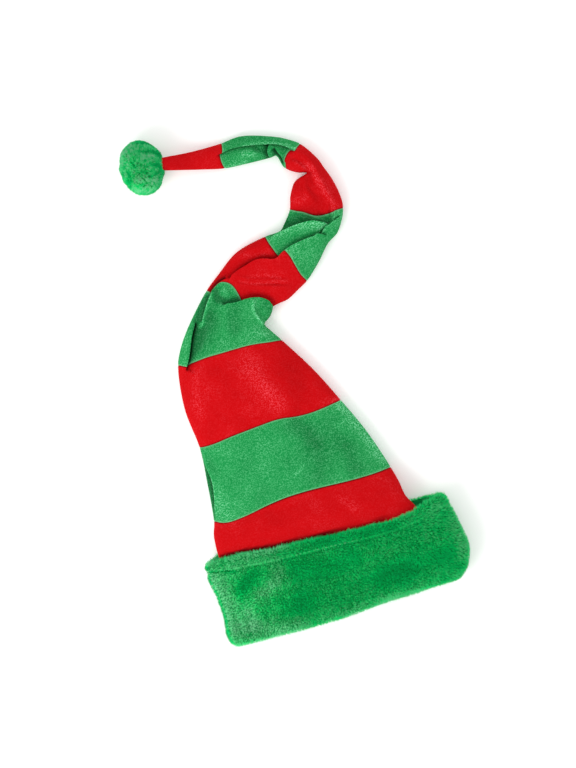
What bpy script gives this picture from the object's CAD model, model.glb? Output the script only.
"""A long striped elf hat that lies flat, with a turned-up plush brim and a pompom at the tip of its tail.

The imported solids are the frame. Each piece below stands for one of them, or is sewn to it or grows on it.
Lengths are in metres, +Y runs from the head opening to the tail, and the table is at Z = 0.
"""

import bmesh
import bpy
import numpy as np
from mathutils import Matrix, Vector


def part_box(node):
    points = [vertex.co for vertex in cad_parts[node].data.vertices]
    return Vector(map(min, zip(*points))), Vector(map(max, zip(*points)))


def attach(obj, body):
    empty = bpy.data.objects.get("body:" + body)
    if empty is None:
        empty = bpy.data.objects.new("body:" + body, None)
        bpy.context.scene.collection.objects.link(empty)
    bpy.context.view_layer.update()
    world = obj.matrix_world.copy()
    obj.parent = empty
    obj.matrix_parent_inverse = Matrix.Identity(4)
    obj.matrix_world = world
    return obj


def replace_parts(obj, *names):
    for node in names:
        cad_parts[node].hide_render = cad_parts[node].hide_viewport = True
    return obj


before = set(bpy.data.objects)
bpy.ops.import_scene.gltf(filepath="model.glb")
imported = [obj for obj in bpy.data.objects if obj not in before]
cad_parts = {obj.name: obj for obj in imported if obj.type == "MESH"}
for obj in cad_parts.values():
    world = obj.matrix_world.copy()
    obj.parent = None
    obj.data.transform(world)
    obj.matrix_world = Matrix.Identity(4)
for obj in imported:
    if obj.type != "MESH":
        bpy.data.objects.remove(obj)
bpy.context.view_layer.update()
scene = bpy.context.scene
random = np.random.default_rng(9)

# The view
# The hat is seen from straight above and turned a little, so that its brim slants up to the right. It lies
# on a plain pale table in a bright room, with one broad lamp low on the left.
view_turn = np.radians(16)
view_height = 3.4
view_middle = Vector((0.0083, 0.2335, 0))
view_long_side = 0.9216
sensor_long_side = 36.0

camera_data = bpy.data.cameras.new("camera")
camera_data.sensor_width = sensor_long_side
camera_data.lens = sensor_long_side * view_height / view_long_side
camera = bpy.data.objects.new("camera", camera_data)
camera.location = view_middle + Vector((0, 0, view_height))
camera.rotation_euler = (0, 0, -view_turn)
scene.collection.objects.link(camera)
scene.camera = camera
scene.view_settings.view_transform = "Standard"

lamp_data = bpy.data.lights.new("lamp", "AREA")
lamp_data.shape = "DISK"
lamp_data.size = 1.2
lamp_data.energy = 20
lamp = bpy.data.objects.new("lamp", lamp_data)
lamp.location = view_middle + Vector((-1.3, -0.75, 1.35))
lamp.rotation_euler = (lamp.location - view_middle).to_track_quat("Z", "Y").to_euler()
scene.collection.objects.link(lamp)

room = bpy.data.worlds.new("room")
room.use_nodes = True
room.node_tree.nodes["Background"].inputs["Color"].default_value = (1, 1, 1, 1)
room.node_tree.nodes["Background"].inputs["Strength"].default_value = 0.98
scene.world = room


class Socket:
    """A socket of a finish's nodes. Arithmetic on it adds Math nodes, and node() adds any other node."""

    def __init__(self, tree, socket=None):
        self.tree = tree
        self.socket = socket

    def node(self, kind, settings=None, sockets=None, out=0):
        """Adds a node of that kind, sets its settings and sockets, and gives one of its outputs."""
        node = self.tree.nodes.new(kind)
        for name, value in (settings or {}).items():
            setattr(node, name, value)
        for name, value in (sockets or {}).items():
            if isinstance(value, Socket):
                self.tree.links.new(value.socket, node.inputs[name])
            else:
                node.inputs[name].default_value = value
        return Socket(self.tree, node.outputs[out] if len(node.outputs) else None)

    def math(self, operation, *values):
        return self.node("ShaderNodeMath", {"operation": operation}, dict(enumerate(values)))

    def __add__(self, other):
        return self.math("ADD", self, other)

    def __mul__(self, other):
        return self.math("MULTIPLY", self, other)

    def __sub__(self, other):
        return self.math("SUBTRACT", self, other)

    def __rsub__(self, other):
        return self.math("SUBTRACT", other, self)

    __radd__ = __add__
    __rmul__ = __mul__

    def clear(self):
        """The value kept between 0 and 1."""
        return self.node("ShaderNodeClamp", {}, {0: self})

    def between(self, low, high):
        """0 where the value is under low, 1 where it is over high, and smooth between them."""
        settings = {"interpolation_type": "SMOOTHSTEP"}
        return self.node("ShaderNodeMapRange", settings, {0: self, 1: low, 2: high, 3: 0.0, 4: 1.0})

    def blend(self, low, high):
        """Mixes two colours by this value, from low at 0 to high at 1."""
        return self.node("ShaderNodeMix", {"data_type": "RGBA"}, {0: self, 6: low, 7: high}, out=2)

    def noise(self, place, scale, detail=2.0, roughness=0.5):
        """A cloudy pattern over a place, from 0 to 1."""
        sockets = {"Vector": place, "Scale": scale, "Detail": detail, "Roughness": roughness}
        return self.node("ShaderNodeTexNoise", {}, sockets)

    def place(self):
        """Where a point lies in its piece's own space."""
        return self.node("ShaderNodeTexCoord", out=3)

    def attribute(self, name):
        """The number that the piece's points have under that name."""
        return self.node("ShaderNodeAttribute", {"attribute_name": name}, out=2)

    def bump(self, height, strength, distance):
        """The way out of a surface with small bumps as high as the value says."""
        sockets = {"Strength": strength, "Distance": distance, "Height": height}
        return self.node("ShaderNodeBump", {}, sockets)

    def cloth(self, colour, roughness, gloss, normal=None):
        """A surface as cloth and thread have it, with bumps where a normal is given."""
        sockets = {"Base Color": colour, "Roughness": roughness, "Specular IOR Level": gloss}
        if normal is not None:
            sockets["Normal"] = normal
        return self.node("ShaderNodeBsdfPrincipled", {}, sockets)


def finish_material(name, make):
    """A material whose surface is what make gives when it is called with the material's empty tree."""
    material = bpy.data.materials.new(name)
    material.use_nodes = True
    tree = material.node_tree
    tree.nodes.clear()
    start = Socket(tree)
    start.node("ShaderNodeOutputMaterial", {}, {"Surface": make(start)})
    return material


def table_surface(start):
    """The table: matt, nearly white, and a little lit from within, so that shadows on it are faint."""
    white = (0.96, 0.96, 0.955, 1)
    sockets = {"Base Color": white, "Roughness": 0.9, "Emission Color": white, "Emission Strength": 0.13}
    return start.node("ShaderNodeBsdfPrincipled", {}, sockets)


table_reach = 6.0
table_level = -0.0003
corners = [(x * table_reach, y * table_reach, table_level) for x, y in ((-1, -1), (1, -1), (1, 1), (-1, 1))]
table_mesh = bpy.data.meshes.new("table")
table_mesh.from_pydata(corners, [], [(0, 1, 2, 3)])
table_mesh.materials.append(finish_material("pale_table", table_surface))
table = bpy.data.objects.new("table", table_mesh)
scene.collection.objects.link(table)

# The brim
# A wide band of green plush, turned up on the outside and stitched along its free edge. Its other edge is
# turned in under the crown's sewn edge as a lip. It lies as a flattened ring, with waves in both its edges.
mm = 0.001

# Measures of the brim, its lip and its hem, and of the cloth, most of them as the solids have them
brim_width = 0.300
cuff_height = 0.100
cuff_loft = 0.052
cuff_thickness = 0.009
lip_thickness = 0.0045
lip_length = 0.016
fold_depth = 0.006
hem_width = 0.0125
hem_dent = 0.0022
hem_row = 4
hem_crease = 0.004
cloth = 0.0022
fit_gap = 0.00045
origin_up = cuff_height / 2
top_power = 0.62
flat_share = 0.72
backing_depth = 0.0022

# The brim's left and right ends at shares of its height, as shares of its width
brim_sides = {
    "up": (0, 0.14, 0.36, 0.6, 0.82, 1),
    "left": (-0.474, -0.478, -0.470, -0.475, -0.488, -0.489),
    "right": (0.489, 0.519, 0.541, 0.530, 0.517, 0.509),
}

# How far the free edge and the fold stray, as shares of the brim's height, all round from its left end
brim_waves = {
    "around": (0, 0.06, 0.13, 0.21, 0.29, 0.37, 0.43, 0.47, 0.5, 0.6, 0.8, 0.94, 0.975),
    "free": (0.04, 0.035, 0, -0.02, -0.045, -0.07, -0.04, 0.04, 0.065, 0.09, 0.09, 0.09, 0.085),
    "fold": (0.02, 0.015, 0.007, 0.006, 0.032, 0.071, 0.076, 0.06, 0.065, 0.03, 0.02, 0.02, 0.02),
}


def column_at(values, place, closed=False):
    """A smooth curve through the values of a column, read at places counted in rows. Between two rows it is
    a cubic, whose slope at a row is the harmonic mean of the steps on both sides, or none where they differ
    in sign."""
    values = np.asarray(values, float)
    last = len(values) - 1
    start = np.floor(place).astype(int)
    if not closed:
        start = np.clip(start, 0, last - 1)
    t = place - start
    rows = [start + k for k in (-1, 0, 1, 2)]
    before, here, after, beyond = (values[r % len(values) if closed else np.clip(r, 0, last)] for r in rows)

    def slope(step_in, step_out):
        both = step_in * step_out
        total = np.where(both > 0, step_in + step_out, 1)
        return np.where(both > 0, 2 * both / total, 0)

    ease = t * t * (3 - 2 * t)
    leave = slope(here - before, after - here) * t * (1 - t) ** 2
    arrive = slope(after - here, beyond - after) * t * t * (1 - t)
    return here * (1 - ease) + after * ease + leave - arrive


def brim_section(up):
    """The brim's section at a share of its height: left x and y, right x and y, and the heights of its top,
    its underside and its sides."""
    place = np.interp(up, brim_sides["up"], range(len(brim_sides["up"])))
    left, right = (column_at(brim_sides[side], place) * brim_width for side in ("left", "right"))
    level = np.full_like(left, cuff_loft)
    return np.array([left, up * cuff_height, right, up * cuff_height, level, 0 * level, level / 2])


def inset(section, amount):
    """A section made smaller by the same amount on every side."""
    left_x, left_y, right_x, right_y, top, foot, edge = section
    span = np.hypot(right_x - left_x, right_y - left_y)
    dx = (right_x - left_x) / span * amount
    dy = (right_y - left_y) / span * amount
    ends = (left_x + dx, left_y + dy, right_x - dx, right_y - dy)
    return np.array([*ends, top - amount, foot + amount, edge])


def turn_of(around):
    """The angle across a section, from its left side to its right, at a share of the way round it. The
    first half goes over the top and the second half comes back under it."""
    return np.pi * np.where(around < 0.5, 2 * around - 0.5, 1.5 - 2 * around)


def section_point(section, around):
    """A point of a flattened tube. It lies between the section's sides by the sine of its angle. The top
    rises as a power of the cosine, and the underside is flat, with a quarter of an ellipse at each side."""
    left_x, left_y, right_x, right_y, top, foot, edge = section
    turn = turn_of(around)
    share = (1 + np.sin(turn)) / 2
    over = edge + (top - edge) * np.maximum(np.cos(turn), 0) ** top_power
    beyond = np.maximum(np.abs(np.sin(turn)) - flat_share, 0) / (1 - flat_share)
    under = foot + (edge - foot) * (1 - np.sqrt(np.maximum(1 - beyond**2, 0)))
    x = left_x + (right_x - left_x) * share
    y = left_y + (right_y - left_y) * share
    return np.stack([x, y, np.where(around < 0.5, over, under)], axis=-1)


def brim_stray(up, around):
    """How far the brim strays along Y: a closed curve for its fold and one for its free edge, by height."""
    share = (np.sin(turn_of(around)) + 1) / 4
    share = np.where(around < 0.5, share, 1 - share)
    shares = (*brim_waves["around"], 1)
    place = np.interp(share, shares, range(len(shares)))
    curves = (column_at(brim_waves[edge], place, closed=True) for edge in ("fold", "free"))
    fold, free = (curve * cuff_height for curve in curves)
    return fold + (free - fold) * up


def ripple(points, length, seed):
    """A smooth random swell of about one wave in a length, between about -1 and 1: a sum of sine waves of
    like length that run in random directions."""
    waves = np.random.default_rng(seed)
    wave_count = 10
    total = 0
    for _ in range(wave_count):
        run = waves.normal(size=3)
        run *= 2 * np.pi / length / np.linalg.norm(run) * waves.uniform(0.7, 1.4)
        total = total + np.sin(points @ run + waves.uniform(0, 2 * np.pi))
    return total / wave_count**0.5


# The brim's profile, from the free edge down its outer side, round the fold, along the lip and back up
# inside. Depth is how far inside the brim's outline it lies, and up is its share of the brim's height.
groove_out = cuff_thickness
groove_in = cuff_thickness + cloth + 2 * fit_gap
lip_in = groove_in + lip_thickness
brim_profile = [
    (cuff_thickness * 0.55, 1),
    (cuff_thickness * 0.2, 1 - 0.17 * cuff_thickness / cuff_height),
    (0, 1 - 0.45 * hem_width / cuff_height),
    (0, 1 - 0.75 * hem_width / cuff_height),
    (hem_dent, 1 - hem_width / cuff_height),
    (0, 1 - 1.3 * hem_width / cuff_height),
    (0, 1 - 1.7 * hem_width / cuff_height),
    (0, 0.62),
    (0, 0.5),
    (0, 0.36),
    (0, 0.24),
    (0, 1.3 * cuff_thickness / cuff_height),
    (cuff_thickness * 0.15, 0.55 * cuff_thickness / cuff_height),
    (cuff_thickness * 0.5, 0.1 * cuff_thickness / cuff_height),
    (cuff_thickness, 0),
    (groove_in + lip_thickness * 0.75, 0.25 * fold_depth / cuff_height),
    (lip_in, 0.8 * fold_depth / cuff_height),
    (lip_in, (lip_length - lip_thickness * 0.4) / cuff_height),
    (groove_in + lip_thickness / 2, lip_length / cuff_height),
    (groove_in, (lip_length - lip_thickness * 0.3) / cuff_height),
    (groove_in, (lip_length + fold_depth) / 2 / cuff_height),
    (groove_in, fold_depth / cuff_height),
    (groove_out, fold_depth / cuff_height),
    (groove_out, lip_length / cuff_height),
    (groove_out, 0.35),
    (groove_out, 0.7),
    (groove_out, 1 - 0.45 * cuff_thickness / cuff_height),
]
lip_row = 18
last_row = len(brim_profile) - 1
brim_depths, brim_ups = np.transpose(brim_profile)


def furred(row):
    """Where the brim has pile, from 0 to 1: all along its outer side, the fold and the lip."""
    outer = np.clip(lip_row + 0.5 - row, 0, 1)
    hem = np.clip(row - last_row + 0.5, 0, 1)
    return np.maximum(outer, hem)


def bell(distance, reach):
    """1 on a line, and less beside it by a bell curve of the distance."""
    return np.exp(-((distance / reach) ** 2))


# Where the crease beside the hem ends, and how high the brim's swells are: broad, fine and at its free edge
parting_end = 0.11
broad_swell = 0.0009
fine_swell = 0.0005
edge_swell = 0.0007


def hem_parting(around, row, reach):
    """How near a place is to the crease beside the hem, from 0 to 1. It begins at the brim's left end and
    slants down from there."""
    line = hem_row - 0.9 + 1.8 * (around / parting_end) ** 2
    return bell(row - line, reach) * np.clip((parting_end - around) / 0.02, 0, 1)


def brim_surface(around, row):
    """A point of the brim's backing, at a share of the way round and a place along its profile. Under the
    pile it lies inside the brim's outline, swells in soft clumps and has the crease beside the hem."""
    around, row = np.broadcast_arrays(around, row)
    up = column_at(brim_ups, row, closed=True)
    depth = column_at(brim_depths, row, closed=True) + backing_depth * furred(row)
    depth = depth + hem_crease * hem_parting(around, row, 0.45)
    point = section_point(inset(brim_section(up), depth), around)
    swell = broad_swell * ripple(point, 0.032, 1) + fine_swell * ripple(point, 0.011, 2)
    outward = np.where(around < 0.5, 1, 0) * np.minimum(1, 2 * np.cos(turn_of(around)))
    point[..., 2] += swell * furred(row) * outward
    point[..., 1] += brim_stray(up, around)
    near_edge = np.clip(1 - 6 * np.abs(up - 1), 0, 1)
    point[..., 1] += furred(row) * near_edge * edge_swell * ripple(point, 0.02, 3)
    return point - (0, origin_up, 0)


# Lines over the lying hat are read from above, in millimetres from the middle of the brim's fold. They lie
# on cloth at about this height.
seen_level = 24 * mm
seen_middle = np.array(view_middle[:2]) + (0, origin_up)


def curve_at(points, place):
    """A smooth curve through points, read at places counted in points: a centripetal Catmull-Rom curve.
    Between two points it is a cubic, whose way at each comes from its neighbours and the roots of their
    distances."""
    points = np.vstack([2 * points[0] - points[1], points, 2 * points[-1] - points[-2]])
    start = np.clip(np.floor(place).astype(int), 0, len(points) - 4)
    t = (place - start)[..., None]
    p0, p1, p2, p3 = (points[start + k] for k in range(4))
    pairs = ((p0, p1), (p1, p2), (p2, p3))
    d0, d1, d2 = (np.linalg.norm(b - a, axis=-1, keepdims=True) ** 0.5 for a, b in pairs)
    leave = ((p1 - p0) / d0 - (p2 - p0) / (d0 + d1) + (p2 - p1) / d1) * d1
    arrive = ((p2 - p1) / d1 - (p3 - p1) / (d1 + d2) + (p3 - p2) / d2) * d1
    run = p2 - p1
    return p1 + leave * t + (3 * run - 2 * leave - arrive) * t**2 + (leave + arrive - 2 * run) * t**3


def beside_line(line, x, y):
    """How far points of the plan lie beside a line, more than 0 on its left, how far along it they are,
    from 0 to 1, and the way to its left. The line is a curve through its points, walked in short straight
    steps. It is given as it looks from the camera, which makes what lies high look larger, so it is drawn
    in again."""
    points = seen_middle + (np.array(line) * mm - seen_middle) * (1 - seen_level / view_height)
    path = curve_at(points, np.linspace(0, len(points) - 1, 5 * len(points)))
    nearest = np.full(x.shape, np.inf)
    beside, along, left_x, left_y = (np.zeros(x.shape) for _ in range(4))
    for k, (start, run) in enumerate(zip(path, np.diff(path, axis=0))):
        length = np.hypot(*run)
        ahead_x, ahead_y = run / length
        dx, dy = x - start[0], y - start[1]
        share = np.clip((dx * ahead_x + dy * ahead_y) / length, 0, 1)
        distance = np.hypot(dx - share * run[0], dy - share * run[1])
        closer = distance < nearest
        nearest = np.where(closer, distance, nearest)
        beside = np.where(closer, distance * np.sign(ahead_x * dy - ahead_y * dx), beside)
        along = np.where(closer, (k + share) / (len(path) - 1), along)
        left_x = np.where(closer, -ahead_y, left_x)
        left_y = np.where(closer, ahead_x, left_y)
    return beside, along, left_x, left_y


def smooth(values, low, high):
    """0 under low, 1 over high, and a smooth cubic between them."""
    t = np.clip((values - low) / (high - low), 0, 1)
    return t * t * (3 - 2 * t)


def near_line(line, reach, x, y):
    """Which points of the plan lie in the box round a line, made larger by a reach in millimetres."""
    low, high = np.min(line, axis=0) - reach, np.max(line, axis=0) + reach
    return (x > low[0] * mm) & (x < high[0] * mm) & (y > low[1] * mm) & (y < high[1] * mm)


def brushed(bands, x, y):
    """How the nap is brushed at places of the plan: the sum of bell curves of the distance beside each
    band's line."""
    total = np.zeros(x.shape)
    for line, reach, amount in bands.values():
        near = near_line(line, 3 * reach, x, y)
        beside, along, _, _ = beside_line(line, x[near], y[near])
        inner = smooth(4 * along * (1 - along), -0.6, 0.5)
        total[near] += amount * inner * bell(beside, reach * mm)
    return total


def add_piece(name, mesh, material):
    """A named piece from its mesh, which rides on the hat and has one of the record's finishes."""
    mesh.shade_smooth()
    mesh.materials.append(material)
    piece = bpy.data.objects.new(name, mesh)
    scene.collection.objects.link(piece)
    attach(piece, "root")
    return piece


def new_piece(name, points, faces, material):
    """A named piece from its points, and its faces as rows of their numbers."""
    mesh = bpy.data.meshes.new(name)
    mesh.vertices.add(len(points))
    mesh.vertices.foreach_set("co", np.asarray(points, np.float32).ravel())
    mesh.loops.add(faces.size)
    mesh.loops.foreach_set("vertex_index", np.asarray(faces, np.int32).ravel())
    mesh.polygons.add(len(faces))
    mesh.polygons.foreach_set("loop_start", np.arange(0, faces.size, faces.shape[1]))
    mesh.update(calc_edges=True)
    return add_piece(name, mesh, material)


def paint(piece, name, values):
    """Gives each point of a piece a number, under a name that its finish reads."""
    attribute = piece.data.attributes.new(name, "FLOAT", "POINT")
    attribute.data.foreach_set("value", np.asarray(values, np.float32).ravel())


def grid_faces(rows, columns):
    """The four-sided faces of a grid of points whose rows and columns both close on themselves. They face
    left of the way that the rows run, when the columns run ahead."""
    r = np.arange(rows)[:, None]
    c = np.arange(columns)[None, :]
    corners = [(r, c), (r, c + 1), (r + 1, c + 1), (r + 1, c)]
    return np.stack([(a % rows) * columns + b % columns for a, b in corners], axis=-1).reshape(-1, 4)


def spread_turns(over, under):
    """Shares of the way round a section: over places across its top, and under places below it."""
    return np.concatenate([0.5 * np.arange(over) / over, 0.5 + 0.5 * np.arange(under) / under])


def hashed(cell, seed):
    """Three numbers from 0 to 1 for each cell of a grid: the last digits of a large sine."""
    turns = np.array([[127.1, 311.7, 74.7], [269.5, 183.3, 246.1], [113.5, 271.9, 124.6]])
    return np.modf(np.abs(np.sin(cell @ turns.T + seed) * 43758.5453))[0]


def nearest_tuft(points, size, seed):
    """The middle of the tuft nearest to each point, and the tuft's own number from 0 to 1. Space is cut in
    cells of that size, and each holds one middle at a random place."""
    cell = np.floor(points / size)
    nearest = np.full(len(points), np.inf)
    middle = np.zeros_like(points)
    number = np.zeros(len(points))
    for step in np.ndindex(3, 3, 3):
        corner = cell + step - 1.0
        jitter = hashed(corner, seed)
        candidate = (corner + jitter) * size
        distance = ((candidate - points) ** 2).sum(axis=1)
        closer = distance < nearest
        nearest = np.where(closer, distance, nearest)
        middle[closer] = candidate[closer]
        number[closer] = np.modf(jitter.sum(axis=1) * 7)[0][closer]
    return middle, number


def scatter(cover, count):
    """Places spread evenly over the brim's pile. Each cell of a fine grid is drawn as often as its area and
    its cover ask, and the place inside it is random."""
    columns, rows = 600, 220
    first_row, end_row = -0.5, lip_row + 0.5
    around = (np.arange(columns + 1) / columns)[None, :]
    row = np.linspace(first_row, end_row, rows + 1)[:, None]
    around, row = np.broadcast_arrays(around, row)
    point = brim_surface(np.minimum(around, 1 - 1e-6), row)
    across = point[:-1, 1:] - point[:-1, :-1]
    along = point[1:, :-1] - point[:-1, :-1]
    weight = np.linalg.norm(np.cross(across, along), axis=-1) * cover(around[:-1, :-1], row[:-1, :-1])
    cell = random.choice(weight.size, count, p=weight.ravel() / weight.sum())
    r, c = np.divmod(cell, columns)
    step = (end_row - first_row) / rows
    place = (c + random.uniform(size=count)) / columns
    return place, first_row + (r + random.uniform(size=count)) * step


def unit(vectors):
    """The vectors at a length of 1."""
    return vectors / np.maximum(np.linalg.norm(vectors, axis=-1, keepdims=True), 1e-12)


def brim_normal(around, row):
    """The way out of the brim, from the cross product of two short steps along it."""
    step = 1e-3
    across = brim_surface((around + step) % 1, row) - brim_surface((around - step) % 1, row)
    along = brim_surface(around, row + step) - brim_surface(around, row - step)
    return unit(np.cross(along, across))


# The colours of the plush, of its backing and of the sewing thread
plush_deep = (0.001, 0.32, 0.075, 1)
plush_mid = (0.003, 0.8, 0.2, 1)
plush_pale = (0.33, 0.83, 0.50, 1)
backing_deep = (0.001, 0.16, 0.038, 1)
backing_pale = (0.002, 0.34, 0.08, 1)
thread_deep = (0.03, 0.5, 0.16, 1)
thread_pale = (0.22, 0.85, 0.42, 1)

# Bands where the brim's nap is brushed: a line, how far it reaches beside it, and how much paler it looks,
# or darker where that is less than 0
brim_nap = {
    "pale_left": (((-138, 99), (-140, 70), (-136, 35), (-132, 5)), 18, 0.8),
    "pale_inner": (((-111, 42), (-108, 18)), 10, 0.45),
    "pale_spot": (((-62, 80), (-67, 67), (-78, 57), (-93, 51)), 9, 0.6),
    "pale_high_left": (((-122, 92), (-95, 93), (-62, 90)), 7, 0.4),
    "pale_low_left": (((-116, 18), (-88, 6), (-53, 5)), 13, 0.65),
    "pale_bottom": (((-30, 3), (15, 4), (61, 5), (107, 8)), 7, 0.3),
    "pale_end": (((154, 78), (155, 55), (152, 30)), 9, 0.32),
    "pale_top_right": (((127, 91), (142, 96)), 7, 0.35),
    "pale_edge": (((-115, 101), (-48, 97)), 4, 0.5),
    "dark_hem": (((-20, 92), (40, 88), (84, 86)), 5, -0.35),
    "dark_left": (((-96, 76), (-106, 68), (-115, 58)), 7, -0.75),
    "dark_middle": (((-60, 24), (-35, 33)), 12, -0.5),
    "dark_right": (((45, 34), (70, 33), (95, 38)), 12, -0.6),
    "dark_far_right": (((118, 36), (137, 38)), 10, -0.5),
    "dark_top": (((-53, 79), (-13, 61), (34, 66)), 11, -0.35),
}


def plush_surface(start):
    """Plush: each strand is darker at its root and paler at its tip. Where the nap is brushed up the tips
    look paler and stand out singly, and where it lies smooth it is deep green."""
    reach, own, tuft, nap = (start.attribute(name) for name in ("reach", "own", "tuft", "nap"))
    patch = start.noise(start.place(), 55.0, 3.0) - 0.5
    light = (0.42 * (own - 0.5) + 0.2 * (tuft - 0.5) + 0.7 * nap + 0.45 * patch).clear()
    dark = (0.0 - 0.75 * nap - 0.8 * patch + 0.2 * (0.5 - tuft)).clear()
    tip_colour = light.blend(plush_mid, plush_pale)
    smooth_colour = (0.8 * dark).blend(tip_colour, plush_deep)
    colour = (0.35 + 0.65 * reach.between(0.0, 0.5)).blend(plush_deep, smooth_colour)
    return start.cloth(colour, 0.9, 0.05)


def backing_surface(start):
    """The knitted backing under the pile: deep green, with small loops."""
    loops = start.noise(start.place(), 700.0, 1.0)
    return start.cloth(loops.blend(backing_deep, backing_pale), 0.95, 0.05, start.bump(loops, 0.5, 0.0005))


brim_turns = spread_turns(over=220, under=130)
outer_rows = np.linspace(0, lip_row, 82)[:-1]
inner_rows = np.linspace(lip_row, last_row + 1, 22)[:-1]
brim_rows = np.concatenate([outer_rows, inner_rows])
brim_points = brim_surface(brim_turns[None, :], brim_rows[:, None])
brim_faces = grid_faces(len(brim_rows), len(brim_turns))[:, ::-1]
backing = finish_material("plush_backing", backing_surface)
brim = new_piece("brim", brim_points.reshape(-1, 3), brim_faces, backing)
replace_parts(brim, "cuff")

plush = finish_material("plush", plush_surface)

# How all pile stands: how far its strands stray, how deep they are rooted, and the least heights over the
# table of a strand's tip, of the middle of its foot and of all its points
strand_stray = 0.22
strand_root = 0.0004
tip_floor = 0.0004
foot_floor = 0.0006
strand_floor = 0.0002


def pile(name, root, normal, comb, nap, length, thick, tuft_size, gather):
    """Pile as thousands of tapered strands. Each is a slim closed spike with three sides. It stands on its
    root, is combed to one side, leans to the middle of its tuft, and ends above the table. Nap is how it is
    brushed."""
    count = len(root)
    middle, number = nearest_tuft(root, tuft_size, seed=5)
    pull = (middle - root) * gather / tuft_size
    stray = random.normal(size=(count, 3)) * strand_stray
    lean = comb + pull + stray
    lean -= normal * (lean * normal).sum(axis=1, keepdims=True)
    way = unit(normal + lean)
    own = random.uniform(size=count)
    reach = length * (0.72 + 0.4 * own + 0.12 * number)
    tip = root + way * reach[:, None]
    tip[:, 2] = np.maximum(tip[:, 2], tip_floor)
    side = unit(np.cross(way, random.normal(size=(count, 3))))
    other = np.cross(way, side)
    foot = root - normal * strand_root
    foot[:, 2] = np.maximum(foot[:, 2], foot_floor)
    ring = [foot + thick * (np.cos(a) * side + np.sin(a) * other) for a in np.radians((0, 120, 240))]
    points = np.stack([*ring, tip], axis=1).reshape(-1, 3)
    points[:, 2] = np.maximum(points[:, 2], strand_floor)
    first = 4 * np.arange(count)[:, None, None]
    faces = (first + np.array([[0, 1, 3], [1, 2, 3], [2, 0, 3], [2, 1, 0]])).reshape(-1, 3)
    piece = new_piece(name, points, faces, plush)
    paint(piece, "reach", np.tile((0, 0, 0, 1), count))
    for attribute, values in (("own", own), ("tuft", number), ("nap", nap)):
        paint(piece, attribute, np.repeat(values, 4))


def thread_surface(start):
    """Sewing thread: pale green, with a fine twist."""
    twist = start.noise(start.place(), 2200.0, 1.0)
    return start.cloth(twist.blend(thread_deep, thread_pale), 0.6, 0.2)


# The stitches that hold the hem: the shares of the way round between which they run, their length and gap,
# how thick they are, how high they lie over the backing, and the shares of its length where each is given
stitch_ends = (0.11, 0.488)
stitch_length = 2.8 * mm
stitch_gap = 2.6 * mm
stitch_radius = 0.55 * mm
stitch_lift = 2.9 * mm
stitch_sides = 8
stitch_shares = np.array([0.0, 0.06, 0.25, 0.5, 0.75, 0.94, 1.0])


def hem_stitches():
    """A row of stitches along the hem, each a short closed thread that dips in the backing. The pile hides
    those near the brim's ends, and in the middle they lie higher."""
    walk_steps = 3000
    walk = np.linspace(*stitch_ends, walk_steps)
    line = brim_surface(walk, np.full_like(walk, hem_row))
    travelled = np.concatenate([[0], np.cumsum(np.linalg.norm(np.diff(line, axis=0), axis=1))])
    starts = np.arange(0, travelled[-1] - stitch_length, stitch_length + stitch_gap)
    fat = np.sqrt(np.maximum(1 - (2 * stitch_shares - 1) ** 4, 0.02))
    around = np.interp(starts[:, None] + stitch_shares * stitch_length, travelled, walk)
    row = np.full_like(around, hem_row)
    middle = brim_surface(around, row)
    normal = brim_normal(around, row)
    bare = smooth(middle[..., 0], -0.08, -0.055) * (1 - smooth(middle[..., 0], 0.03, 0.06))
    lift = stitch_lift * (0.3 + 0.7 * np.sin(np.pi * stitch_shares)) * (0.25 + 0.75 * bare)
    middle = middle + normal * lift[..., None]
    ahead = unit(np.gradient(middle, axis=1))
    side = unit(np.cross(ahead, normal))
    up = np.cross(side, ahead)
    turn = 2 * np.pi * np.arange(stitch_sides) / stitch_sides
    ring = np.cos(turn)[:, None] * side[:, :, None, :] + np.sin(turn)[:, None] * up[:, :, None, :]
    tube = middle[:, :, None, :] + stitch_radius * fat[None, :, None, None] * ring
    mesh = bmesh.new()
    for rows in tube:
        corners = [[mesh.verts.new(point) for point in ring_points] for ring_points in rows]
        for low, high in zip(corners, corners[1:]):
            for k in range(stitch_sides):
                after = (k + 1) % stitch_sides
                mesh.faces.new((low[k], low[after], high[after], high[k]))
        mesh.faces.new(corners[0][::-1])
        mesh.faces.new(corners[-1])
    bmesh.ops.recalc_face_normals(mesh, faces=mesh.faces)
    data = bpy.data.meshes.new("hem_stitches")
    mesh.to_mesh(data)
    mesh.free()
    add_piece("hem_stitches", data, finish_material("sewing_thread", thread_surface))


hem_stitches()

# The brim's pile: how many strands each of its two pieces has, how long and thick they are, the size of the
# tufts and how far the strands gather in them, and how thin the pile is where nobody sees it
brim_strands = 49500
brim_pile_length = 0.0042
brim_strand_radius = 0.0004
brim_tuft = 0.0024
brim_gather = 0.55
hidden_cover = 0.45


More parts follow.
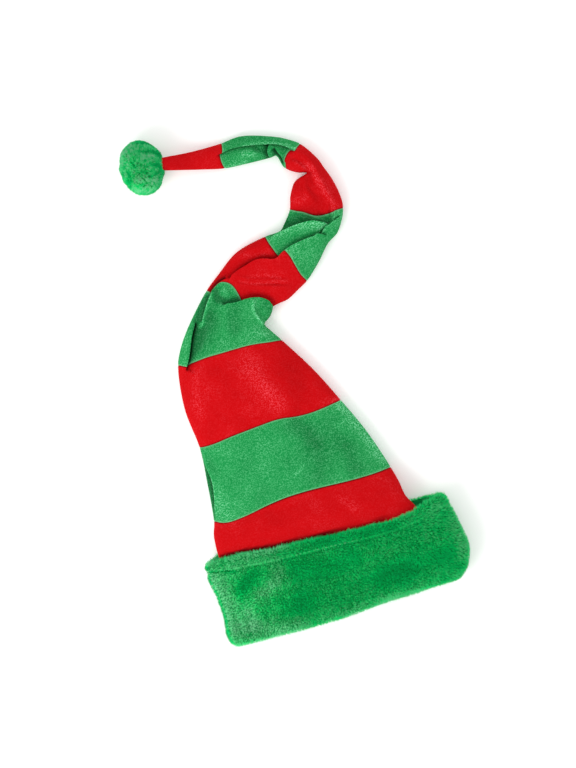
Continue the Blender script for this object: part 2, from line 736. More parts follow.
def brim_pile(name, cover):
    """Pile on a part of the brim, combed towards its nearer end, down to its fold and out over its free
    edge, where its strands differ in length. It is short in the crease beside the hem, and dark where it
    faces left."""
    around, row = scatter(cover, brim_strands)
    root = brim_surface(around, row % (last_row + 1))
    normal = brim_normal(around, row)
    along = 0.32 * np.tanh((root[:, 0] + 0.07) / 0.05) + 0.2 * ripple(root, 0.05, 7)
    across = -0.2 + 0.2 * ripple(root, 0.06, 8) + 0.8 * smooth(-row, -2, 0)
    comb = np.stack([along, across, 0 * along], axis=1)
    length = brim_pile_length * (1 - 0.8 * hem_parting(around, row, 0.75))
    length = length * (1 + 0.3 * smooth(-row, -1.8, -0.6) * ripple(root, 0.0032, 9))
    nap = np.where(normal[:, 2] > -0.2, brushed(brim_nap, root[:, 0], root[:, 1] + origin_up), 0)
    nap = nap - 2 * hem_parting(around, row, 0.5) - 2.2 * smooth(-normal[:, 0], 0.6, 1.05)
    pile(name, root, normal, comb, nap, length, brim_strand_radius, brim_tuft, brim_gather)


def facing_up(around, row):
    """How thick the pile on the brim's upper side is, from 0 to 1."""
    upper = (around > 0.015) & (around < 0.485) & (row < 13)
    return furred(row) * (1 - hem_parting(around, row, 0.5)) * upper


def facing_elsewhere(around, row):
    """How thick the rest of the brim's pile is. It is thinner on the lip and on the underside."""
    cover = np.where(row > 13.5, hidden_cover, 1.0)
    cover = cover * np.where((around > 0.5) & (row > 2) & (row < 12), hidden_cover, 1.0)
    return furred(row) * (facing_up(around, row) == 0) * cover


brim_pile("brim_pile_over", facing_up)
brim_pile("brim_pile_round", facing_elsewhere)

# The crown
# Nine stripes of velour, red and green in turn, are sewn end to end into one long tapering tube, whose tail
# curls round and back. Its empty upper sheet has sunk on the lower one in soft rolls and sharp tucks.
hat_reach = 0.615
crown_loft = 0.030
tip_height = 0.0144
pom_height = 0.052
crown_inset = cuff_thickness + fit_gap

# Sections of the crown that the brim holds: left and right x as shares of its width, and y of its height
held_sections = {
    "mid_cuff": (-0.443, 0.45, 0.5),
    "mouth": (-0.427, 0.385, 1),
    "past_mouth": (-0.426, 0.354, 1.18),
}

# Sections of the crown past the brim: left x and y, right x and y, and the heights of its top, its
# underside and its sides. X is a share of the brim's width, Y of the hat's reach, and a height of the
# crown's loft.
crown_sections = {
    "step_1": (-0.4215, 0.2195, 0.3455, 0.2195, 1.27, 0.16, 0.62),
    "seam_1": (-0.408, 0.241, 0.331, 0.249, 1.1, 0, 0.38),
    "body_2": (-0.39, 0.323, 0.278, 0.33, 0.98, 0, 0.3),
    "seam_2": (-0.381, 0.387, 0.215, 0.4, 0.95, 0, 0.28),
    "body_3": (-0.396, 0.47, 0.142, 0.474, 0.93, 0, 0.28),
    "seam_3": (-0.374, 0.554, 0.053, 0.546, 0.88, 0, 0.28),
    "low_nip": (-0.347, 0.583, 0.02, 0.571, 0.87, 0, 0.28),
    "nip": (-0.31, 0.61, 0.004, 0.585, 0.87, 0, 0.28),
    "lobe": (-0.262, 0.638, 0.035, 0.598, 0.87, 0, 0.28),
    "seam_4": (-0.18, 0.68, 0.059, 0.614, 0.85, 0, 0.28),
    "body_5a": (-0.1205, 0.7025, 0.12, 0.6195, 0.85, 0, 0.28),
    "body_5b": (-0.026, 0.7345, 0.176, 0.6335, 0.85, 0, 0.28),
    "seam_5": (0.103, 0.749, 0.213, 0.6435, 0.85, 0, 0.28),
    "body_6a": (0.14, 0.75, 0.28, 0.673, 0.86, 0, 0.28),
    "turn": (0.167, 0.752, 0.3355, 0.7025, 0.87, 0, 0.28),
    "body_6b": (0.192, 0.764, 0.386, 0.719, 0.85, 0, 0.28),
    "seam_6": (0.227, 0.787, 0.433, 0.761, 0.82, 0, 0.28),
    "body_7a": (0.243, 0.811, 0.434, 0.793, 0.8, 0, 0.26),
    "above_7": (0.277, 0.836, 0.42, 0.825, 0.78, 0, 0.25),
    "pinch": (0.331, 0.846, 0.403, 0.848, 0.72, 0, 0.24),
    "body_7b": (0.295, 0.852, 0.39, 0.866, 0.72, 0, 0.24),
    "seam_7": (0.252, 0.868, 0.338, 0.904, 0.66, 0, 0.23),
    "crumple": (0.233, 0.8945, 0.293, 0.92, 0.6, 0, 0.22),
    "body_8a": (0.21, 0.894, 0.243, 0.932, 0.58, 0, 0.22),
    "body_8b": (0.107, 0.8955, 0.117, 0.95, 0.56, 0, 0.22),
    "seam_8": (0.023, 0.8985, 0.03, 0.947, 0.54, 0, 0.22),
    "body_9": (-0.083, 0.91, -0.083, 0.9465, 0.62, 0.16, 0.38),
    "neck": (-0.226, 0.926, -0.226, 0.95),
}

# The stripes: the section where each starts and ends, and how many rows of points it has
stripes = {
    "stripe_1_red": ("hem", "seam_1", 44),
    "stripe_2_green": ("seam_1", "seam_2", 36),
    "stripe_3_red": ("seam_2", "seam_3", 36),
    "stripe_4_green": ("seam_3", "seam_4", 60),
    "stripe_5_red": ("seam_4", "seam_5", 52),
    "stripe_6_green": ("seam_5", "seam_6", 56),
    "stripe_7_red": ("seam_6", "seam_7", 56),
    "stripe_8_green": ("seam_7", "seam_8", 52),
    "stripe_9_red": ("seam_8", "neck", 28),
}

# Where the stripes meet: lines over the lying hat, from its left side to its right. X and Y are in
# millimetres from the middle of the brim's fold, here and in the folds and bands below.
seam_lines = {
    "seam_1": (
        (-128, 151), (-121, 148.5), (-116, 146), (-109, 144.2), (-102, 143.8), (-90, 144.8), (-75, 147),
        (-60, 149.8), (-45, 152), (-30, 153.5), (-15, 154), (0, 154), (20, 153.2), (40, 152.2), (60, 151.7),
        (80, 152), (98, 153.5), (106, 154.5),
    ),
    "seam_2": (
        (-121, 240.5), (-114, 239), (-108, 238.5), (-95, 239), (-75, 241.5), (-55, 243.3), (-35, 245),
        (-20, 246), (-8, 245.5), (0, 244.2), (10, 243), (25, 242.7), (40, 244), (55, 246), (65, 247.4),
        (72, 248),
    ),
    "seam_3": (
        (-118, 344), (-112, 341.2), (-107, 338.7), (-101, 336.5), (-96, 338.3), (-89, 339.8), (-78, 340.9),
        (-60, 341), (-40, 341.2), (-25, 341), (-12, 339.8), (0, 338), (10, 337), (16, 336.3), (24, 335.6),
    ),
    "seam_4": (
        (-64, 421), (-58, 419.4), (-53.6, 417.7), (-51, 415.4), (-48.4, 416.2), (-42.5, 420.2),
        (-37.1, 422.5), (-32.4, 422.1), (-25.8, 418.7), (-21.8, 412.4), (-19.2, 405), (-17, 398),
        (-11.3, 395.6), (-0.3, 394.4), (8.3, 390.8), (14.3, 385.2), (16.8, 379.3), (19, 371),
    ),
    "seam_5": (
        (29, 467), (30.5, 461), (32.2, 454), (35, 445), (37, 439), (41, 436.8), (46, 437.4), (49.5, 435.5),
        (53, 430), (55.5, 420), (58, 410), (60.2, 404), (64, 397.5), (68, 391),
    ),
    "seam_6": (
        (61, 488), (68.5, 484.5), (75, 481), (82, 478), (90, 473.5), (97, 470.3), (105, 468.5),
        (112, 467.8), (120, 468.2), (129, 468.6), (136, 469),
    ),
    "seam_7": (
        (76, 528), (77.3, 535), (78.6, 541), (80.6, 546), (83.5, 549.6), (87, 551.4), (90.5, 551.2),
        (93.5, 551), (97, 554), (101, 557), (106, 561),
    ),
    "seam_8": (
        (9, 546), (7, 553), (5.4, 558), (5, 564), (6, 570), (8.5, 576), (10.5, 582), (12, 589),
    ),
}

# Tucks of the upper sheet, where one side lies over the other. Each has a line with its raised side on the
# left, how far it reaches on the raised side and on the low side, how high it is, how deep its low side
# sinks, how far it hangs over and how far its shade falls, all in millimetres.
tucks = {
    "gutter": (
        ((-105, 333), (-102.4, 337), (-98, 344), (-92.5, 356), (-87, 369), (-82, 378), (-77, 386)),
        8, 10, 2.6, 5, 1.6, 3.5,
    ),
    "gutter_rim": (
        ((-45, 419), (-51, 413.4), (-58.7, 404), (-64, 396), (-68, 389), (-71.5, 383)),
        7, 5, 1.6, 2.4, 1.3, 2,
    ),
    "tongue_rim": (((-27, 426.4), (-36, 424.6), (-44, 420.6), (-52, 415.8)), 4, 4, 0.6, 1.6, 0.8, 3),
    "lobe": (
        ((24, 366), (20, 374), (16.8, 379.3), (14.3, 385.2), (8.3, 390.8), (-0.3, 394.2), (-11.3, 395.6),
         (-20.1, 395.1), (-30.4, 395.8), (-42.7, 399.7)),
        22, 11, 4.4, 6.5, 3, 3,
    ),
    "middle": (
        ((106, 443.6), (97, 444.7), (88, 445.8), (80, 445.4), (73.4, 444.7), (59.4, 442.6), (52, 440.4),
         (44, 436.8), (36, 432.6), (30, 433.4), (23.2, 436.2), (11.2, 437.7), (-0.1, 434.8), (-12.6, 431.2),
         (-21, 428), (-28, 425.4)),
        16, 8, 4, 6.5, 2.8, 3.6,
    ),
    "shelf": (
        ((110, 455.6), (107.7, 457.4), (103, 460.4), (97.7, 462.6), (91, 464.6), (85.1, 465.4),
         (71.7, 465.4), (58, 464), (46, 462), (35, 460.6)),
        8, 18, 3.4, 8, 2.2, 4,
    ),
    "diagonal": (
        ((124, 461), (119.5, 458.8), (113, 456.6), (106.6, 453.9), (101, 451.8), (96.9, 450), (92, 447.4),
         (86, 443.6)),
        7, 6, 3, 4.4, 1.8, 2.4,
    ),
    "tail": (
        ((0, 569.6), (8.6, 571.8), (16.7, 573.3), (28.2, 573.5), (36, 572.5), (42.9, 571.5), (52, 569.8),
         (61, 567.9), (68, 565.9), (75, 563.4), (82, 559.4), (88, 554.6), (93, 549)),
        6, 6, 2.6, 3.8, 1.9, 2.2,
    ),
    "kink": (((67, 566), (62.6, 562), (60.6, 557.5), (61.5, 551)), 4, 6, 2, 3, 1.3, 4),
    "nick": (((70, 560), (72.4, 554.5), (75.5, 548), (76.6, 540)), 3, 5, 1.6, 2.6, 1, 3.5),
    "side": (
        ((-114, 238), (-115, 228), (-115.2, 221), (-113.6, 209), (-112.2, 197), (-114.6, 178), (-119, 160),
         (-121, 149)),
        8, 6, 1, 2.6, 1.3, 4,
    ),
}

# Rolls and dents of the upper sheet: a line, how far each reaches beside it, and how high it stands
rolls = {
    "crescent_ridge": (
        ((3, 355), (0, 360.7), (-3.7, 369), (-6.4, 377.4), (-5.3, 385), (-3, 389)), 2.2, 2.6,
    ),
    "crescent_hollow": (((7, 360), (3, 366), (-1, 373), (-1, 381)), 3.4, -2.6),
    "tongue_swell": (((-40, 408), (-28, 412)), 8, 1.6),
    "shelf_floor": (((56, 466), (70, 474), (88, 470)), 8, -2.4),
    "red_crease": (((-22, 420), (-8, 415), (4, 411.5), (16, 407.5), (28, 403.5), (44, 398)), 2, -2.4),
    "red_ridge": (((-20, 423), (0, 414.8), (12, 411.8), (28, 407.4), (46, 401.5)), 2.6, 2),
    "panel_rim": (((-68.1, 394.2), (-60.1, 404.3), (-51.7, 413.3)), 2, 1.4),
    "red_swell": (((-10, 408), (12, 403), (30, 398), (46, 395)), 4, 1.2),
    "north_swell": (((-34, 436), (-18, 445), (0, 451), (22, 455)), 4.5, 1.5),
    "fan_ridge": (
        ((91, 553), (97, 546), (104, 536), (109, 526), (112.5, 515), (115, 502), (118, 488), (122, 472)),
        4.2, 2.6,
    ),
    "fan_line": (((100, 545), (106, 535), (109.6, 525), (110.6, 514), (110, 502)), 1.3, -0.8),
    "fan_valley": (((95, 549), (100, 540), (104, 530), (105.6, 519), (104.6, 508), (105, 496)), 3.2, -2.2),
    "fan_south": (((101, 519), (94, 512), (90, 503), (89, 492)), 3.6, -1.6),
    "fan_arc": (((98, 508), (100, 499), (106, 492), (114, 488)), 3, -1.3),
    "fan_low": (((98, 516), (88, 508), (83, 498)), 5, 1.2),
    "fan_up": (((79, 538), (88, 537), (95, 531), (100, 522)), 3.4, 1.6),
    "fan_between": (((84, 545), (92, 541), (98, 532), (102, 522)), 2.6, -1.3),
    "spoke_1": (((91, 468.5), (99, 466.4), (106, 462.4), (111, 456.5)), 1.7, 2),
    "spoke_2": (((98, 472), (106, 467), (111, 461)), 1.5, -1.8),
    "spoke_3": (((113.6, 472), (113.6, 466), (112.5, 458)), 1.5, -2.2),
    "tail_patch": (((27, 559), (38, 561.6), (49, 560)), 4.6, 1.9),
    "tail_ridge": (((43, 564), (51, 559.4), (57, 555.4), (63, 552)), 1.8, 1.2),
    "tail_hollow": (((47, 566), (54, 563), (59, 558)), 3.2, -1.5),
    "tail_crest": (
        ((36, 574), (50, 571.8), (60, 569.8), (68, 568.2), (76, 565.2), (84, 560.4), (91, 554.5)), 2, 1.1,
    ),
    "red_sweep": (((-24, 338), (-15, 300), (-2, 262), (5, 244)), 20, 2),
    "red_hollow": (((22, 334), (24, 300), (34, 268)), 15, -1.6),
    "green_hollow": (((4, 243), (26, 200), (50, 154)), 18, -2.4),
    "green_crease": (((-18, 177), (-5, 181), (6, 184.5)), 1.6, 0.6),
    "nip_hollow": (((-55, 396), (-50, 372), (-54, 350)), 9, -1.6),
    "nip_ridge": (((-70, 348), (-68, 370), (-56, 388)), 8, 1),
}

# Bands where the velour's nap is brushed, in the same way as the brim's
crown_nap = {
    "strip": (((-108, 338), (-104.8, 346.4), (-97.9, 363.5), (-90, 378)), 4, 0.35),
    "strip_dark": (((-86, 374), (-79, 385), (-71, 396), (-63, 406), (-54, 415)), 4, -1.0),
    "gutter_dark": (((-99, 338), (-92, 350), (-83, 364), (-74, 379)), 6, -0.95),
    "panel_edge": (((-74, 377), (-66.5, 387), (-57, 402), (-50, 411)), 1.7, 1.5),
    "panel_low": (((-58, 350), (-35, 352), (-6.8, 351), (9, 347)), 9, 0.4),
    "panel_dark": (((-84, 350), (-66, 376), (-54, 396)), 11, -0.75),
    "panel_middle": (((-40, 350), (-34, 372), (-28, 388)), 11, -0.6),
    "crescent_line": (((-4, 388), (-6, 384), (-7, 377.4), (-4.2, 369), (-0.4, 360.7)), 1.2, 1.6),
    "crescent_blob": (((-6, 383), (-3, 384)), 3, 0.6),
    "lobe_smooth": (((4, 384), (8, 372), (5, 364)), 6, -0.5),
    "tongue_pale": (((-32.6, 405), (-34.7, 414.2)), 3, 0.25),
    "tongue_dark": (((-42.3, 416), (-46, 404.9)), 4.5, -0.9),
    "tongue_foot": (((-44, 403), (-30.4, 400.6), (-18, 399.6)), 4.5, -1.2),
    "roll_top": (((37.5, 457), (45.6, 458.6), (65.3, 460.2), (84.4, 459.8), (102.5, 456.4)), 4.4, 1.0),
    "roll_foot": (((45, 443), (59.4, 447.6), (73.4, 449.7), (90, 450.4)), 3, -0.4),
    "triangle": (((58, 470), (72, 474), (92, 472)), 9, -0.85),
    "low_green": (((55.1, 432.3), (72.3, 439.3), (90, 441.2)), 2.6, 0.5),
    "low_green_wide": (((60, 424), (82, 432)), 10, 0.35),
    "diagonal_low": (((93.4, 444.3), (101.1, 447.9), (111.9, 452.4), (122.2, 458.1)), 1.5, 0.6),
    "diagonal_high": (((90, 450.5), (100, 456), (108, 459), (115, 462.6)), 1.4, 0.55),
    "pleat_high": (((95, 468.4), (107, 462), (111, 456.5)), 1.3, 0.7),
    "pleat_low": (((92, 466), (104, 460.6)), 1.4, -0.9),
    "right_ridge": (((123.6, 466.3), (124.7, 458.3), (120.8, 449.9)), 3, 0.35),
    "red5_line": (((-14.8, 417.1), (4.3, 410.1), (27.8, 405.4), (44, 402.1)), 1.5, 0.5),
    "red5_second": (((-0.9, 418.8), (17.5, 416.4), (34.4, 408.7)), 1.5, 0.4),
    "red5_edge": (((28, 431.6), (11.2, 435), (-0.1, 432.4), (-12.6, 428.6), (-23.3, 424.2)), 1.5, 0.35),
    "red5_high": (((-1.9, 448.7), (13.5, 443.4), (29.2, 443.6)), 3, 0.35),
    "red5_dark": (((30, 438), (11, 441), (-2, 438.6), (-20, 431)), 2.4, -0.7),
    "red7_broad": (
        ((103, 531), (105.6, 526.8), (109.3, 513.3), (113.5, 497.8), (117.9, 483.2), (119.6, 469.3)),
        4.6, 0.6,
    ),
    "red7_high": (((89.1, 539.2), (94.9, 532.8), (100.9, 527.2)), 3, 0.3),
    "red7_low": (((76, 492), (85, 492), (95, 496)), 5, 0.35),
    "red7_valley": (((101.8, 518.7), (96.3, 508.4), (97.3, 496.8), (103.4, 482.2)), 4, -0.6),
    "red7_crease": (((116, 479.9), (113.1, 466.4)), 1.2, -0.8),
    "green8_ridge": (
        ((36, 576.4), (43, 575.4), (54, 573.4), (65, 571.2), (72, 569), (79.5, 565.6), (86, 562), (92, 557),
         (97, 552)),
        1.6, 1.5,
    ),
    "green8_oval": (((33.6, 563.5), (43, 560)), 3, 1.2),
    "green8_low": (((8.6, 555), (18.7, 553.7), (31.9, 553.3)), 3.2, 0.7),
    "green8_hollow": (((44, 567), (50, 563.6), (57.3, 560.9)), 2.4, -0.7),
    "green8_nook": (((78.1, 557.6), (80.6, 551.2), (77.5, 540)), 3, -0.7),
    "green8_back": (((17.4, 582.7), (38.3, 582), (59.8, 577.2), (83.5, 566.6)), 3.2, -0.25),
    "red3_band": (((-34, 332), (-29, 310), (-21, 289), (-11, 266), (-2, 251)), 12, 0.55),
    "red3_left": (((-89, 333), (-98, 318), (-102, 296), (-102, 276)), 6, 0.3),
    "red3_dark": (((11, 308), (18, 291), (20, 271)), 15, -0.4),
    "green2_dark": (((2, 244), (6, 232), (16, 214), (27, 197)), 13, -0.75),
    "green2_dark_right": (((54, 198), (58, 180), (57, 160)), 11, -0.65),
    "green2_dark_low": (((24, 192), (14, 174), (6, 162)), 13, -0.4),
    "green2_dark_wide": (((38, 232), (44, 205)), 12, -0.3),
    "green2_dark_left": (((-108, 226), (-106, 207)), 5, -0.35),
    "green2_right": (((58, 246), (65, 240), (80, 209), (94, 162)), 8, 1.3),
    "green2_low_left": (((-108, 180), (-109, 158), (-100, 146)), 9, 0.45),
    "green2_top_left": (((-100, 229), (-81, 227)), 8, 0.25),
    "green2_crease": (((-15, 176), (-7, 180), (1, 185)), 1.5, 0.8),
    "green2_crease_right": (((51, 217), (57, 220), (63, 223)), 1.4, 0.6),
    "green2_crease_left": (((-106, 166), (-98, 164), (-90, 162)), 1.3, 0.5),
    "side_edge": (
        ((-113.6, 237), (-114, 221), (-112, 209), (-110.4, 197), (-113, 178), (-118, 160)), 1.3, 0.8,
    ),
    "side_sliver": (((-117, 232), (-117.5, 207), (-118, 185), (-121.5, 163)), 3, -0.9),
    "red1_marks": (((28, 138), (36, 128), (44, 119)), 5, 0.3),
}

# How wide a tuck's turn is, how far from it its lit rim lies and how wide that is, how deep and wide a seam
# sinks, and how wide the cut edge shows along it and along the hat's sides
tuck_edge = 2.2 * mm
tuck_rim = 3.4 * mm
rim_reach = 1.5 * mm
seam_dip = 0.35 * mm
seam_reach = 1.0 * mm
edge_reach = 1.1 * mm
side_reach = 1.2 * mm

# The ladder of all sections, from the hem in the brim to the neck at the pompom
rungs = {}
lip_middle = (fold_depth + lip_length) / 2
for name, height in (("hem", fold_depth + fit_gap), ("lip_middle", lip_middle), ("lip_end", lip_length)):
    rungs[name] = inset(brim_section(height / cuff_height), crown_inset)
for name, (left, right, up) in held_sections.items():
    ends = (left * brim_width, up * cuff_height, right * brim_width, up * cuff_height)
    rungs[name] = (*ends, cuff_loft - crown_inset, crown_inset, cuff_loft / 2)
tip_heights = ((pom_height + tip_height) / 2, (pom_height - tip_height) / 2, pom_height / 2)
for name, row in crown_sections.items():
    ends = np.multiply(row[:4], (brim_width, hat_reach, brim_width, hat_reach))
    rungs[name] = (*ends, *(np.multiply(row[4:], crown_loft) if name != "neck" else tip_heights))
rung_names = list(rungs)
ladder = np.array([rungs[name] for name in rung_names])


def crown_section(place):
    """The crown's section at places counted in rungs."""
    place = np.clip(place, 0, len(ladder) - 1)
    left, right = (curve_at(ladder[:, side : side + 2], place) for side in (0, 2))
    heights = [column_at(ladder[:, k], place) for k in (4, 5, 6)]
    return np.stack([left[..., 0], left[..., 1], right[..., 0], right[..., 1], *heights])


def crown_shape(place, around, depth):
    """The crown's tube without its folds, at places along it and round it, and at a depth in its cloth."""
    point = section_point(inset(crown_section(place), depth), around)
    up = point[..., 1] / cuff_height
    with_brim = np.clip((1 - up) / (1 - lip_length / cuff_height), 0, 1)
    point[..., 1] += brim_stray(up, around) * with_brim
    return point


def fold_moves(x, y):
    """How far the folds move the cloth at places of the plan, and how deep the low side of a tuck is in
    shade, less than 0 along its raised side's rim. A roll lifts the cloth by a bell curve of the distance
    beside its line. A tuck has half such a curve up on its raised side and half down on its low side, and
    pushes both over each other by a curve that turns at its line, so that the raised side ends there."""
    move = np.zeros((*x.shape, 3))
    shade = np.zeros(x.shape)
    for line, reach, height in rolls.values():
        near = near_line(line, 3 * reach, x, y)
        beside, along, _, _ = beside_line(line, x[near], y[near])
        ends = smooth(4 * along * (1 - along), 0, 0.7)
        move[near, 2] += height * mm * ends * bell(beside, reach * mm)
    for line, above, below, height, depth, hang, fall in tucks.values():
        near = near_line(line, 3 * max(above, below), x, y)
        beside, along, left_x, left_y = beside_line(line, x[near], y[near])
        beside = beside - 1.15 * max(hang - 1.1, 0) * mm
        ends = smooth(4 * along * (1 - along), 0, 0.32)
        raised = smooth(beside, -tuck_edge, tuck_edge)
        up = raised * height * mm * bell(beside, above * mm)
        down = (1 - raised) * depth * mm * bell(beside, below * mm)
        fading = bell(beside, 3 * hang * mm + tuck_edge)
        push = -hang * 2 * mm * ends * np.tanh(beside / tuck_edge) * fading
        move[near, 2] += ends * (up - down)
        move[near, 0] += push * left_x
        move[near, 1] += push * left_y
        low_side = (1 - smooth(beside, 0, rim_reach)) * min(1, fall / 3)
        shade[near] += ends * low_side * bell(np.minimum(beside + rim_reach, 0), fall * mm)
        shade[near] -= 0.65 * ends * bell(beside - tuck_rim, rim_reach)
    return move, np.clip(shade, -1, 1)


def crown_cloth(place, around, depth, inside=False):
    """The crown's cloth with its folds and a slight unevenness. The inside only follows the dents, a little
    deeper, so that it stays under the cloth's face. Gives the points, the tucks' shade and the nap."""
    over = around < 0.5
    point = crown_shape(place, around, depth)
    fade = np.clip(3 * np.cos(turn_of(around)), 0, 1) * over
    move, shade = fold_moves(point[..., 0], point[..., 1])
    past_brim = point[..., 1] - cuff_height - brim_stray(1.0, around)
    under_edge = (1 - smooth(past_brim, 5 * mm, 8 * mm)) * (1 - smooth(point[..., 0], 0.06, 0.085))
    shade = np.maximum(shade, under_edge)
    nap = brushed(crown_nap, point[..., 0], point[..., 1]) * over
    if inside:
        move = np.minimum(move, 0) * (0, 0, 1.3)
        move[..., 2] -= 0.8 * mm * np.clip(np.abs(move[..., 2]) / mm, 0, 1)
    else:
        loose = np.interp(point[..., 1], (0.1, 0.2, 0.4), (0.3, 0.7, 1.0)) * mm
        move[..., 2] += loose * (0.55 * ripple(point, 0.034, 21) + 0.22 * ripple(point, 0.011, 22))
    low_sheet = section_point(inset(crown_section(place), cloth), 1 - around)[..., 2]
    lowest = np.minimum(low_sheet + cloth - depth + 0.3 * mm, point[..., 2])
    lifted = np.maximum(point[..., 2] + move[..., 2] * fade, lowest)
    point[..., 2] = np.where(over, lifted, point[..., 2])
    point[..., :2] += move[..., :2] * fade[..., None]
    return point, shade * fade, nap


def seam_places(name, around):
    """Where along the crown a seam crosses each line of its cloth. The stretch of rungs that holds the seam
    is halved again and again."""
    rung = rung_names.index(name)
    if name not in seam_lines:
        return np.full(around.shape, float(rung))
    stretch, halvings = 1.25, 22
    low, high = np.full(around.shape, rung - stretch), np.full(around.shape, rung + stretch)
    over = np.minimum(around, 1 - around)
    for _ in range(halvings):
        middle = (low + high) / 2
        point = crown_shape(middle, over, 0.0)
        beyond = beside_line(seam_lines[name], point[..., 0], point[..., 1])[0] > 0
        low, high = np.where(beyond, low, middle), np.where(beyond, middle, high)
    return (low + high) / 2


# The places round the crown where its cloth is given, and the shares of a stripe close beside its seams
crown_turns = spread_turns(over=176, under=42)
beside_seam = np.array([0.0015, 0.006, 0.012, 0.02, 0.032])
crown_seams = {name: seam_places(name, crown_turns) for name in ("hem", *seam_lines, "neck")}


def beside_side(points):
    """How far round the tube points lie from its nearer side, where a seam runs along the hat."""
    step = np.linalg.norm(np.roll(points, -1, axis=1) - points, axis=-1)
    walked = np.cumsum(step, axis=1) - step
    whole = step.sum(axis=1, keepdims=True)
    half = walked[:, np.argmax(crown_turns >= 0.5)][:, None]
    return np.minimum(np.minimum(walked, whole - walked), np.abs(walked - half))


def velour_stripe(name, start, end, count, material):
    """A stripe: its face from one seam to the next and its inside back again. It dips at both seams."""
    share = np.concatenate([beside_seam, np.linspace(0.045, 0.955, count), 1 - beside_seam[::-1]])[:, None]
    inner_share = np.linspace(1 - beside_seam[0], beside_seam[0], count // 4 + 3)[:, None]
    first, last = crown_seams[start][None, :], crown_seams[end][None, :]
    around = np.broadcast_to(crown_turns[None, :], (len(share), len(crown_turns)))
    place = first + (last - first) * share
    plain = crown_shape(place, around, 0.0)
    travelled = np.cumsum(np.linalg.norm(np.diff(plain, axis=0, prepend=plain[:1]), axis=-1), axis=0)
    to_start = travelled if start in seam_lines else np.full_like(travelled, 1.0)
    to_end = travelled[-1] - travelled if end in seam_lines else np.full_like(travelled, 1.0)
    beside = np.minimum(to_start, to_end)
    face, shade, nap = crown_cloth(place, around, seam_dip * bell(beside, seam_reach))
    inner_around = np.broadcast_to(crown_turns[None, :], (len(inner_share), len(crown_turns)))
    inside, _, _ = crown_cloth(first + (last - first) * inner_share, inner_around, cloth, inside=True)
    points = np.concatenate([face, inside]) - (0, origin_up, 0)
    faces = grid_faces(len(points), len(crown_turns))
    piece = new_piece(name, points.reshape(-1, 3), faces, material)
    seam = np.minimum(bell(beside, edge_reach) + 0.7 * bell(beside_side(plain), side_reach), 1)
    for attribute, values in (("seam", seam), ("tuck", shade), ("nap", nap)):
        paint(piece, attribute, np.concatenate([values, np.zeros(inside.shape[:2])]))
    return piece


def velour_surface(deep, mid, bright, edge, edge_share, speckled):
    """Velour: a short nap that glitters in fine specks, most where it is brushed up, and lies a little
    differently from patch to patch. It is dark in the tucks, and its cut edge shows at the seams."""

    def surface(start):
        seam, tuck, nap = (start.attribute(name) for name in ("seam", "tuck", "nap"))
        place = start.place()
        speck = start.noise(place, 760.0, 1.0, 0.6)
        patch = start.noise(place, 38.0, 3.0) - 0.5
        shining = (nap + 0.9 * patch - 0.9 * tuck).clear()
        dull = (0.0 - nap - 0.9 * patch).clear()
        light = (0.58 + 6 * speckled * (speck - 0.5) + 0.35 * shining - 0.85 * dull).clear()
        glitter = (speck.between(0.46, 0.66) * (speckled + 0.8 * shining)).clear()
        colour = glitter.blend(light.blend(deep, mid), bright)
        edged = (edge_share * seam).blend(colour, edge)
        shadow = tuple(0.08 * c for c in deep[:3]) + (1,)
        shaded = (0.9 * tuck + 0.7 * dull.between(0.5, 1.6)).clear().blend(edged, shadow)
        return start.cloth(shaded, 0.8, 0.05, start.bump(speck, 0.3, 0.0006))

    return surface


# The velours: the colours deep, mid, bright and of the cut edge, how strong that edge is and how speckled
# the nap is
velours = {
    "red_velour": (
        (0.43, 0.0006, 0.002, 1), (0.575, 0.0015, 0.004, 1),
        (0.86, 0.085, 0.11, 1), (0.17, 0.001, 0.002, 1),
        0.95, 0.07,
    ),
    "green_velour": (
        (0.004, 0.18, 0.04, 1), (0.015, 0.325, 0.078, 1),
        (0.20, 0.66, 0.34, 1), (0.30, 0.66, 0.36, 1),
        0.4, 0.24,
    ),
}
finishes = {name: finish_material(name, velour_surface(*velour)) for name, velour in velours.items()}
for name, (start, end, count) in stripes.items():
    slot = name.split("_")[-1] + "_velour"
    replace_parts(velour_stripe("velour_" + name, start, end, count, finishes[slot]), name)

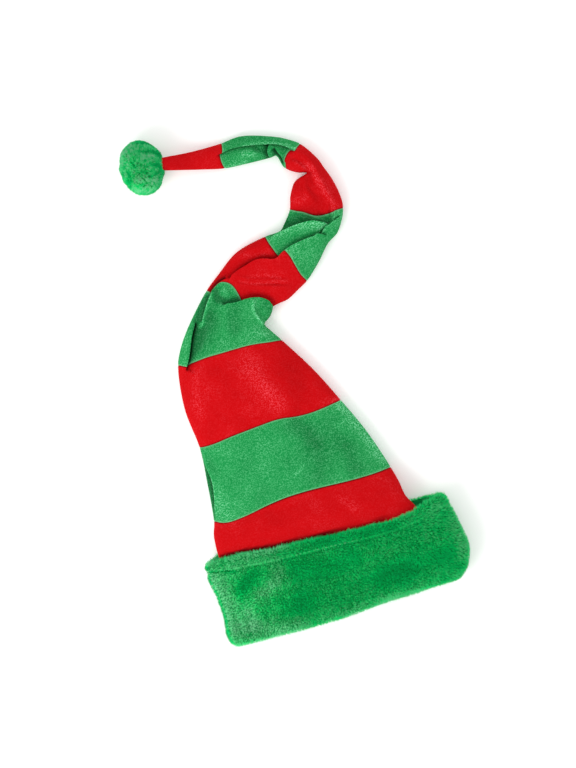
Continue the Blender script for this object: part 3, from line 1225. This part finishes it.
# The pompom
# A soft ball of the same plush with longer pile, brushed out all round. The tail's tip is sewn into it, and
# it lies on the table.
pom_low, pom_high = (np.array(corner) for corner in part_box("pompom"))
pom_pile = 0.0042
pom_strands = 46000
pom_strand_radius = 0.0006
pom_tuft = 0.0026
pom_gather = 0.7
pom_fleck = 0.0019
pom_middle = (pom_low + pom_high) / 2 + (0.0015, -0.0015, 0)
pom_radii = (pom_high - pom_low) / 2 - 0.8 * pom_pile - (0.001, 0.001, 0)
pom_mesh = bmesh.new()
bmesh.ops.create_icosphere(pom_mesh, subdivisions=5, radius=1)
pom_ways = unit(np.array([vertex.co[:] for vertex in pom_mesh.verts]))
pom_faces = np.array([[vertex.index for vertex in face.verts] for face in pom_mesh.faces])
pom_mesh.free()


def pom_surface(ways):
    """A point of the pompom's head in each way from its middle: an ellipsoid with soft swells."""
    point = pom_middle + pom_radii * ways
    return point + ways * (0.0007 * ripple(point, 0.03, 31) + 0.0005 * ripple(point, 0.012, 32))[:, None]


pompom = new_piece("pompom_head", pom_surface(pom_ways), pom_faces, backing)
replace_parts(pompom, "pompom")

# Bands where the pompom's nap is brushed, in the same way as the brim's
pom_nap = {
    "dark_high": (((-90, 608), (-84, 607), (-77, 605), (-73, 602)), 1.6, -1.1),
    "dark_upper": (((-84, 597), (-77, 595), (-69, 591), (-67, 587)), 2.4, -1.1),
    "dark_left": (((-97, 585), (-93, 583)), 2, -0.9),
    "dark_right": (((-77, 580), (-73, 579), (-68, 575)), 2, -1.0),
    "dark_low": (((-92, 574), (-85, 571), (-76, 568)), 1.8, -0.9),
    "dark_side": (((-105, 576), (-105, 565)), 2.4, -0.8),
    "pale_low": (((-103, 561), (-94, 552), (-83, 553), (-75, 557)), 6, 0.4),
    "pale_low_in": (((-99, 568), (-89, 563), (-77, 564)), 4, 0.35),
    "pale_left": (((-113, 580), (-113, 588), (-110, 597), (-101, 606), (-90, 612)), 6, 0.45),
    "pale_right": (((-77, 591), (-74, 588)), 2, 0.5),
}
ways = unit(random.normal(size=(pom_strands, 3)))
root = pom_surface(ways)
normal = unit(ways / pom_radii)
swirl = np.cross(normal, (0.5, -0.7, 0.5)) * 0.5
comb = swirl + 0.5 * np.stack([ripple(root, 0.017, seed) for seed in (33, 34, 35)], axis=1)

# Its nap is brushed on the upper side, flecked all over, and darker round the rim
_, fleck = nearest_tuft(root, pom_fleck, seed=8)
nap = brushed(pom_nap, root[:, 0], root[:, 1] + origin_up) * np.clip(3 * normal[:, 2] + 1, 0, 1)
nap += 0.26 + 1.4 * (fleck - 0.5) - 0.9 * (1 - np.abs(normal[:, 2])) ** 2
pile("pompom_pile", root, normal, comb, nap, pom_pile, pom_strand_radius, pom_tuft, pom_gather)
